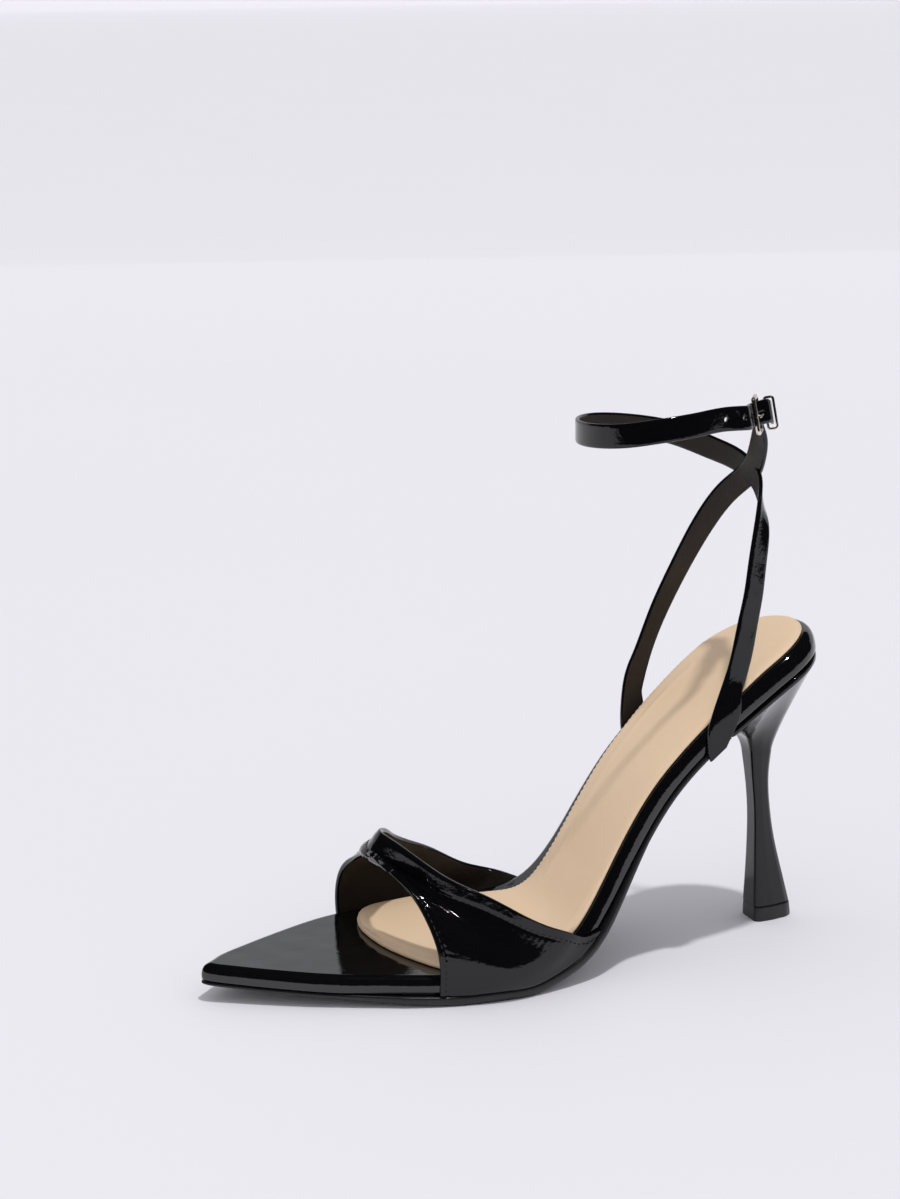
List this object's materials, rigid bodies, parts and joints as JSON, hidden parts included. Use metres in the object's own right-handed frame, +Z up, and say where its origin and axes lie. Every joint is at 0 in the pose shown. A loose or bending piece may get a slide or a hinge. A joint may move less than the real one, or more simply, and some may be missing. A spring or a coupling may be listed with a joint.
{
  "type": "high-heeled sandal",
  "caption": "Strappy high-heeled sandal for the left foot, with a pointed platform toe, a broad vamp, a flared slim heel and crossing straps buckled round the ankle.",
  "frame": {"origin": "on the floor, in the middle of the tread, the flat spot of the sole under the ball of the foot", "axes": "+X towards the outer side of the foot, -Y towards the toe, +Z up from the floor"},
  "size_m": [0.092, 0.2273, 0.1944],
  "materials": {
    "outsole": "satin",
    "insole_board": "high gloss",
    "insole_sock": "matte",
    "heel": "high gloss",
    "heel_top_piece": "matte",
    "vamp": "high gloss",
    "ankle_straps": "high gloss",
    "buckle_frame": "polished",
    "buckle_prong": "polished",
    "strap_keeper": "polished"
  },
  "bodies": {
    "root": {"outsole": "outsole", "insole_board": "insole_board", "insole_sock": "insole_sock", "heel": "heel", "heel_top_piece": "heel_top_piece", "vamp": "vamp", "ankle_straps": "ankle_straps", "buckle_frame": "buckle_frame", "buckle_prong": "buckle_prong", "strap_keeper": "strap_keeper"}
  },
  "joints": []
}
